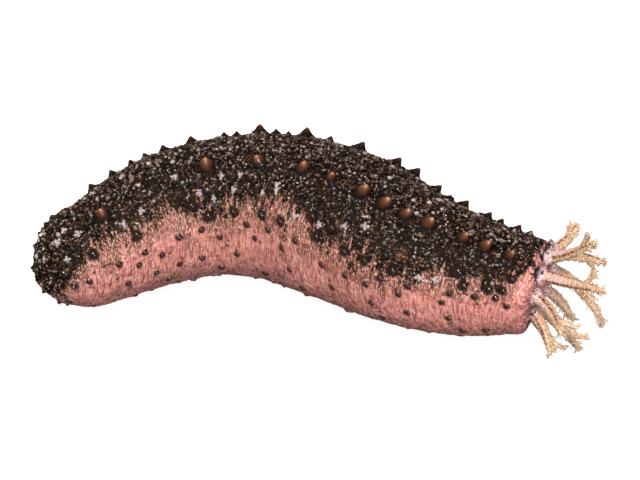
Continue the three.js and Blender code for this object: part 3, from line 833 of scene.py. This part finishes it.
def add_fringe(shape, path, radii, inner, start, random):
    """Fine twigs along both edges of a tentacle or fork, and thicker fingers round its tip."""
    run = arc_length(path)
    at = start * run[-1]
    number = 0
    while at < run[-1]:
        share = at / run[-1]
        root = np.array([np.interp(at, run, path[:, axis]) for axis in range(3)])
        index = min(int(np.searchsorted(run, at)), len(path) - 1)
        tangent = unit(path[index] - path[index - 1])
        first = unit(inner - tangent * (tangent @ inner))
        second = np.cross(tangent, first)
        spread = 80 if share < 0.75 else 200
        turn = math.radians((60 if number % 2 else -60) + spread * (random() - 0.5))
        out = first * math.cos(turn) + second * math.sin(turn)
        radius = float(np.interp(at, run, radii))
        finger = share > FINGER_FROM and number % 3 == 0
        way = unit(out + (0.75 if finger else 0.25 + 0.6 * share) * tangent)
        length = 1.1 + 0.9 * random() if finger else (0.7 + 0.7 * share) * (0.6 + 0.8 * random())
        thickness, shoots = (0.56, 6) if finger else (0.2, 1 + round(share))
        root = root + out * radius * 0.75
        add_twig(shape, root, way, length + radius * 0.25, thickness, share, random, shoots)
        at += TWIG_STEP
        number += 1


def add_fork(shape, path, radii, share, inner, fork, random):
    """One fork of a tentacle with its fringe. fork: share of the run, turn, lean and length."""
    at, turn, lean, reach = fork
    index = int(np.argmin(np.abs(share - at)))
    tangent = unit(path[index + 1] - path[index - 1])
    aside = sideways(tangent, turn)
    bend = path[index] + tangent * 0.4 * reach + aside * 0.2 * reach
    lean = math.radians(lean)
    tip = path[index] + (tangent * math.cos(lean) + aside * math.sin(lean)) * reach
    branch = bezier(path[index], bend, tip, FORK_STEPS)
    steps = np.linspace(0, 1, FORK_STEPS)
    fork_radii = np.interp(steps, (0, 1), (0.85 * radii[index], 0.65))
    shape.tube(branch, fork_radii, FORK_SIDES, at + (1 - at) * steps, 0, inner, True)
    add_fringe(shape, branch, fork_radii, inner, 0.3, random)


def build_tentacle(number, around, length, heading, pitch, forks):
    """One tentacle: collar and shaft in one tube, its forks and its fringe."""
    random = random_source(TENTACLE_SEED + 37 * number)
    root, out, forward = tentacle_root(around)
    heading, pitch = math.radians(heading), math.radians(pitch)
    level = math.cos(pitch)
    aim = np.array((level * math.cos(heading), level * math.sin(heading), math.sin(pitch)))
    path = bezier(root, root + (forward * 0.85 + out * 0.3) * 0.42 * length, root + aim * length, SHAFT_STEPS)
    inwards = (forward * 0.75 + out * 0.66) * np.arange(SUNK, 0.1, -0.4)[:, None]
    path = np.concatenate([root - inwards, path])
    run = arc_length(path) - SUNK
    share = np.clip(run / run[-1], 0, 1)
    radii = shaft_radius(run, run[-1])
    angle = np.linspace(0, 2 * np.pi, SHAFT_SIDES, endpoint=False)
    cells = [run[:, None] / 0.8, np.cos(angle) * 1.3 + number, np.sin(angle) * 1.3]
    cells = np.stack(np.broadcast_arrays(*cells), -1).reshape(-1, 3)
    knobs = layered(cells, 300 + number, 2).reshape(len(run), SHAFT_SIDES) - 0.5
    wrinkles = np.sin(2 * np.pi * (run[:, None] / 1.1 + 1.2 * knobs))
    crescent = ease(2.6, 1.4, np.abs(run[:, None] - 0.6 + 2.4 * knobs)) * ease(-0.2, 0.0, knobs)
    crescent = crescent * ease(0.3, -0.5, np.cos(angle))
    swollen = bulb(run)[:, None] + 0 * knobs
    marks = np.stack([dotted_rows(run, angle, radii, random), swollen, crescent], -1)
    shape = Shape()
    rough = radii[:, None] * (1 + 0.16 * knobs + 0.035 * wrinkles)
    shape.tube(path, rough, SHAFT_SIDES, share, 0, -out, True, marks)
    add_fringe(shape, path, radii, -out, 0.34, random)
    for at, turn, lean, reach in forks:
        add_fork(shape, path, radii, share, -out, (at, turn, lean, reach * length), random)
    return shape.finish(f"tentacle_{number}")


class Nodes:
    """Short way to write a material's node tree."""

    def __init__(self, name):
        self.material = bpy.data.materials.new(name)
        self.material.use_nodes = True
        self.tree = self.material.node_tree
        self.shader = self.tree.nodes["Principled BSDF"]

    def put(self, socket, value):
        """Links a node's output to a socket, or sets the socket to a plain value."""
        if isinstance(value, bpy.types.NodeSocket):
            self.tree.links.new(value, socket)
        else:
            socket.default_value = value

    def set(self, name, value):
        self.put(self.shader.inputs[name], value)

    def node(self, kind, inputs, output=0, **settings):
        """Adds a node with its settings and inputs, and returns one of its outputs."""
        node = self.tree.nodes.new("ShaderNode" + kind)
        for key, value in settings.items():
            setattr(node, key, value)
        for key, value in inputs.items():
            self.put(node.inputs[key], value)
        return node.outputs[output]

    def mask(self, name):
        """Value that add_attribute gave the mesh's points."""
        return self.node("Attribute", {}, "Fac", attribute_name=name)

    def math(self, operation, a, b=0.0):
        return self.node("Math", {0: a, 1: b}, operation=operation)

    def plus(self, a, b):
        return self.math("ADD", a, b)

    def times(self, a, b):
        return self.math("MULTIPLY", a, b)

    def span(self, value, low, high, to_low=0.0, to_high=1.0):
        """Smooth change from to_low to to_high while the value goes from low to high."""
        inputs = dict(enumerate((value, low, high, to_low, to_high)))
        return self.node("MapRange", inputs, interpolation_type="SMOOTHSTEP")

    def mix_value(self, factor, a, b):
        return self.node("Mix", {0: factor, 2: a, 3: b}, data_type="FLOAT", clamp_factor=True)

    def mix(self, factor, a, b):
        """Mix of two colours, each a node's output or a display colour."""
        a, b = (c if isinstance(c, bpy.types.NodeSocket) else rgb(*c) for c in (a, b))
        return self.node("Mix", {0: factor, 6: a, 7: b}, 2, data_type="RGBA", clamp_factor=True)

    def place(self, scale):
        """Object coordinates in units of scale mm."""
        coordinates = self.node("TexCoord", {}, "Object")
        return self.node("Mapping", {"Vector": coordinates, "Scale": [1 / (scale * MM)] * 3})

    def surface(self, run_mm, round_mm, length):
        """Coordinates on the unrolled skin in units of run_mm along and round_mm round the body."""
        coordinates = self.node("UVMap", {}, uv_map="OFBake")
        scale = (length / run_mm, SKIN_GIRTH / round_mm, 1)
        return self.node("Mapping", {"Vector": coordinates, "Scale": scale})

    def noise(self, vector, detail, roughness=0.55):
        inputs = {"Vector": vector, "Scale": 1, "Detail": detail, "Roughness": roughness}
        return self.node("TexNoise", inputs)

    def voronoi(self, vector):
        """Distance to the nearest cell point, and that cell's random number."""
        distance = self.node("TexVoronoi", {"Vector": vector, "Scale": 1}, "Distance")
        return distance, self.node("SeparateColor", {0: distance.node.outputs["Color"]})

    def ramp(self, factor, *stops):
        """Colour ramp. stops: position and display colour."""
        colour = self.node("ValToRGB", {0: factor})
        elements = colour.node.color_ramp.elements
        while len(elements) < len(stops):
            elements.new(0.5)
        for element, (position, *display) in zip(elements, stops):
            element.position = position
            element.color = rgb(*display)
        return colour

    def bump(self, height, distance_mm, strength):
        inputs = {"Height": height, "Distance": distance_mm * MM, "Strength": strength}
        return self.node("Bump", inputs)


def rgb(red, green, blue):
    """Linear colour, with alpha 1, from display values of 0 to 255."""
    shares = (red / 255, green / 255, blue / 255)
    return (*(((c + 0.055) / 1.055) ** 2.4 if c > 0.04 else c / 12.92 for c in shares), 1)


def tentacle_material():
    """Cream tentacles with a pinkish outer side, dots in a brown belt on the inner side and paler twigs."""
    n = Nodes("tentacle")
    share = n.mask("share")
    inner = n.mask("inner")
    mottle = n.noise(n.place(0.8), 4)
    grain = n.noise(n.place(0.3), 3)
    base = n.ramp(mottle, (0.32, 176, 122, 88), (0.5, 222, 180, 146), (0.66, 246, 218, 192))
    pink = n.ramp(mottle, (0.35, 190, 136, 134), (0.62, 242, 206, 198))
    base = n.mix(n.times(n.span(inner, -0.3, -0.75), n.span(share, 0.8, 0.2, 0, 0.8)), base, pink)
    beside = n.math("ABSOLUTE", n.plus(inner, 0.42))
    belt = n.times(n.span(beside, 0.4, 0.14), n.span(share, 0.95, 0.6))
    base = n.mix(n.times(belt, n.span(mottle, 0.36, 0.6, 0.95, 0.45)), base, (160, 98, 48))
    base = n.mix(n.times(n.mask("spot"), n.span(grain, 0.3, 0.5, 0.8, 1)), base, (74, 36, 14))
    swollen = n.ramp(mottle, (0.33, 128, 80, 96), (0.48, 214, 168, 172), (0.6, 246, 224, 220))
    base = n.mix(n.span(n.mask("bulb"), 0.2, 0.7, 0, 0.9), base, swollen)
    blots = n.times(n.span(n.mask("bulb"), 0.3, 0.6), n.span(n.noise(n.place(2.0), 2), 0.6, 0.64))
    base = n.mix(n.math("MAXIMUM", blots, n.mask("crescent")), base, (30, 22, 28))
    base = n.mix(n.times(n.mask("twig"), 0.75), base, (236, 206, 174))
    n.set("Base Color", base)
    n.set("Roughness", n.span(mottle, 0.3, 0.7, 0.26, 0.42))
    n.set("Normal", n.bump(grain, 0.12, 0.7))
    n.set("Subsurface Weight", 0.2)
    n.set("Subsurface Radius", (1.0, 0.5, 0.3))
    n.set("Subsurface Scale", 0.001)
    return n.material


def back_colour(n, speck, broad, cell, core):
    """Near-black grains with pale glints."""
    back = n.ramp(
        n.plus(n.times(speck, 0.6), n.times(cell, 0.4)),
        (0.0, 6, 4, 4), (0.3, 12, 8, 7), (0.48, 26, 18, 15), (0.6, 50, 37, 30),
        (0.7, 88, 69, 57), (0.79, 142, 121, 107), (0.88, 212, 198, 186),
    )
    back = n.mix(n.span(n.mask("mottle"), 0.5, 0.85, 0, 0.7), back, (12, 8, 7))
    back = n.mix(n.span(broad, 0.46, 0.62, 0, 0.25), back, (52, 33, 22))
    spread = n.span(n.noise(n.place(4.5), 2), 0.44, 0.58, 0.15, 1)
    return n.mix(n.times(spread, n.times(core, n.span(cell, 0.86, 0.9))), back, (228, 218, 210))


def belly_colour(n, tint, broad, glint, length):
    """Salmon ridges with painted highlights on their tops and painted shade between them, fine upright
    streaks partly painted as highlight and crease shade, painted glints, and the mottled sole with painted
    shade on the underside.
    """
    # Over the ridges: the pale tops are a painted highlight and the dark mauve valleys are painted shade.
    belly = n.ramp(
        n.mask("ridge"),
        (0.0, 134, 64, 70), (0.3, 178, 96, 96), (0.65, 212, 127, 118), (0.95, 246, 172, 154),
    )
    # Upright streaks: partly the belly's streaky tone, partly painted highlight on folds and painted shade in
    # creases.
    streaks = n.noise(n.surface(0.75, 4.2, length), 4, 0.65)
    belly = n.mix(n.span(streaks, 0.5, 0.64, 0, 0.8), belly, (255, 200, 184))
    belly = n.mix(n.span(streaks, 0.46, 0.32, 0, 0.7), belly, (154, 80, 84))
    belly = n.mix(glint, belly, (255, 218, 204))
    belly = n.mix(n.span(tint, 0.74, 0.97, 0, 0.4), belly, (226, 156, 104))
    belly = n.mix(n.span(tint, 0.25, 0.03, 0, 0.35), belly, (176, 106, 120))
    belly = n.mix(n.span(broad, 0.45, 0.65, 0, 0.25), belly, (186, 104, 104))
    # Mottled sole, partly its own colour and partly painted shade on the underside.
    sole = n.ramp(
        n.noise(n.place(1.6), 4),
        (0.34, 78, 44, 48), (0.46, 158, 98, 100), (0.56, 196, 130, 116), (0.68, 222, 166, 120),
    )
    return n.mix(n.times(n.mask("under"), 0.85), belly, sole)


def frayed_edge(n, speck, tint, cell, back, belly, length):
    """How dark the skin is from belly to back, and its colour with an ochre and mauve belt between them."""
    fade = n.mask("fade")
    strands = n.span(n.noise(n.surface(0.8, 4.2, length), 3), 0.32, 0.68)
    grain = n.plus(n.times(cell, 0.2), n.times(n.mask("mottle"), 0.3))
    grain = n.plus(grain, n.times(strands, 0.5))
    below = n.span(fade, 1.6, 0.9)
    edge = n.times(n.span(fade, -0.25, 0.3), below)
    frayed = n.times(n.span(fade, -0.4, 0.05), below)
    threads = n.span(n.noise(n.surface(0.5, 2.6, length), 3), 0.33, 0.67)
    edge_colour = n.ramp(
        n.plus(n.times(cell, 0.25), n.times(threads, 0.75)),
        (0.1, 36, 23, 21), (0.3, 86, 56, 66), (0.44, 108, 68, 48), (0.58, 166, 110, 66),
        (0.74, 192, 120, 106), (0.9, 238, 208, 190),
    )
    belly = n.mix(n.times(frayed, n.span(cell, 0.2, 0.75, 0.95, 0.75)), belly, edge_colour)
    warm = n.ramp(speck, (0.0, 38, 24, 19), (0.5, 84, 53, 35), (1.0, 152, 102, 64))
    back = n.mix(n.times(edge, n.span(tint, 0.4, 0.75, 0.05, 0.8)), back, warm)
    dark = n.span(n.math("SUBTRACT", n.plus(n.times(grain, 0.9), 0.05), fade), -0.07, 0.07)
    return dark, n.mix(dark, belly, back)


def add_markings(n, base, fine):
    """Halos, lips, blots, papillae, tube feet, beads and warts over the skin's colour, and painted shade in
    the crevices.
    """
    halo = n.times(n.mask("halo"), n.span(fine, 0.35, 0.6, 0.45, 0.9))
    base = n.mix(n.times(halo, 0.6), base, (74, 36, 36))
    lip_colour = n.ramp(
        n.noise(n.place(1.3), 4),
        (0.34, 132, 70, 76), (0.5, 196, 124, 124), (0.66, 232, 178, 168),
    )
    base = n.mix(n.mask("lip"), base, lip_colour)
    blots = n.times(n.mask("collar"), n.span(n.noise(n.place(2.0), 2), 0.55, 0.6))
    base = n.mix(n.times(blots, 0.9), base, (34, 24, 28))
    rust = n.mask("rust")
    stain = n.span(n.noise(n.place(1.1), 4), 0.3, 0.7, -0.1, 0.1)
    rust_colour = n.ramp(
        n.plus(rust, stain),
        (0.1, 18, 11, 9), (0.4, 48, 27, 20), (0.7, 98, 55, 36), (1.0, 142, 90, 62),
    )
    base = n.mix(n.span(rust, 0.0, 0.2), base, rust_colour)
    podium = n.mix(n.span(fine, 0.4, 0.62), (38, 20, 16), (80, 45, 33))
    base = n.mix(n.mask("podium"), base, podium)
    dome = n.mix(n.span(fine, 0.4, 0.65), (20, 13, 11), (58, 38, 31))
    base = n.mix(n.mask("dome"), base, dome)
    ochre = n.ramp(n.mask("mottle"), (0.0, 56, 39, 31), (0.5, 104, 77, 58), (1.0, 176, 148, 122))
    base = n.mix(n.mask("ochre"), base, ochre)
    wart = n.ramp(fine, (0.34, 158, 124, 126), (0.48, 214, 190, 186), (0.62, 244, 232, 226))
    base = n.mix(n.mask("pale"), base, wart)
    # Paler tips of papillae, crest cones and nubs: partly their own colour, partly a painted highlight.
    base = n.mix(n.times(n.mask("tip"), 0.7), base, (204, 150, 108))
    # Painted shade: near-black in the crevices between grains, round the roots of forms and beads, and in the
    # vent and mouth.
    return n.mix(n.times(n.mask("crevice"), 0.9), base, (13, 8, 7))


def skin_material(length):
    """Near-black granular back over a salmon belly, glossy on the smooth forms."""
    n = Nodes("skin")
    fine = n.noise(n.place(0.45), 3)
    broad = n.noise(n.place(14), 3)
    speck = n.mask("speck")
    tint = n.mask("tint")
    distance, cell = n.voronoi(n.place(GRAIN * 0.64))
    core = n.span(distance, 0.5, 0.28)
    back = back_colour(n, speck, broad, cell, core)
    glint = n.times(core, n.span(cell, 0.78, 0.84, 0, 0.6))
    belly = belly_colour(n, tint, broad, glint, length)
    dark, base = frayed_edge(n, speck, tint, cell, back, belly, length)
    n.set("Base Color", add_markings(n, base, fine))
    smooth = n.mask("smooth")
    n.set("Roughness", n.mix_value(smooth, n.span(fine, 0.3, 0.7, 0.16, 0.32), 0.19))
    gloss = n.math("MAXIMUM", n.span(dark, 0, 1, 0.4, 0.06), n.times(smooth, 0.6))
    n.set("Specular IOR Level", gloss)
    relief = n.plus(n.noise(n.place(0.4), 4), n.times(core, 0.7))
    n.set("Normal", n.bump(relief, 0.15, n.span(smooth, 0.2, 0.9, 0.9, 0.08)))
    n.set("Subsurface Weight", n.span(dark, 0, 1, 0.12, 0))
    n.set("Subsurface Radius", (1.0, 0.35, 0.25))
    n.set("Subsurface Scale", 0.001)
    return n.material


def build_camera():
    """Camera of the photograph: from the right flank, looking down."""
    elevation = math.radians(ELEVATION)
    data = bpy.data.cameras.new("camera")
    data.lens = LENS
    data.sensor_width = 36
    data.sensor_fit = "HORIZONTAL"
    data.clip_start = 0.01
    camera = new_object("camera", data)
    back = Vector((0, -math.cos(elevation), math.sin(elevation)))
    camera.location = Vector(TARGET) * MM + back * DISTANCE
    camera.rotation_euler = back.to_track_quat("Z", "Y").to_euler()
    bpy.context.scene.camera = camera


def floor_and_light():
    """White floor that neither glosses nor tints the animal, dim surroundings and three lamps."""
    scene = bpy.context.scene
    scene.view_settings.view_transform = "Standard"
    world = bpy.data.worlds.new("studio")
    scene.world = world
    world.use_nodes = True
    background = world.node_tree.nodes["Background"]
    background.inputs["Color"].default_value = (1, 1, 1, 1)
    background.inputs["Strength"].default_value = SURROUNDINGS
    mesh = bpy.data.meshes.new("floor")
    corners = [(-1, -1), (1, -1), (1, 1), (-1, 1)]
    points = [(x * FLOOR_HALF, y * FLOOR_HALF, -FLOOR_DROP) for x, y in corners]
    mesh.from_pydata(points, [], [(0, 1, 2, 3)])
    floor = new_object("floor", mesh)
    n = Nodes("floor")
    tone = n.noise(n.place(60), 2)
    n.set("Base Color", n.mix_value(tone, *FLOOR_TONES))
    n.set("Roughness", 0.9)
    n.set("Specular IOR Level", 0.1)
    n.set("Emission Color", (1, 1, 1, 1))
    n.set("Emission Strength", FLOOR_GLOW)
    mesh.materials.append(n.material)
    floor.visible_glossy = False
    floor.visible_diffuse = False
    for name, (place, size, power) in LIGHTS.items():
        light = add_area(name, place, size, power)
        light.visible_glossy = name != "rim"


def add_area(name, place, size, power):
    """Square lamp that faces the animal."""
    data = bpy.data.lights.new(name, "AREA")
    data.size = size
    data.energy = power
    light = new_object(name, data)
    light.location = place
    light.rotation_euler = (Vector(place) - Vector(LIGHT_AIM)).to_track_quat("Z", "Y").to_euler()
    return light


build_camera()
floor_and_light()
skin_piece, skin_grid = build_skin()
skin_piece.data.materials.append(skin_material(float(skin_grid.run[-1])))
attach(skin_piece, "root")
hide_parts("posterior_end", "hind_trunk", "mid_trunk", "fore_trunk", "anterior_end", "oral_disc")
tentacle_skin = tentacle_material()
for index, (around, length, heading, pitch, forks) in enumerate(TENTACLES):
    tentacle = build_tentacle(index + 1, around, length, heading, pitch, forks)
    tentacle.data.materials.append(tentacle_skin)
    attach(tentacle, "root")
    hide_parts(f"tentacle_{index + 1}_stalk", f"tentacle_{index + 1}_frond")
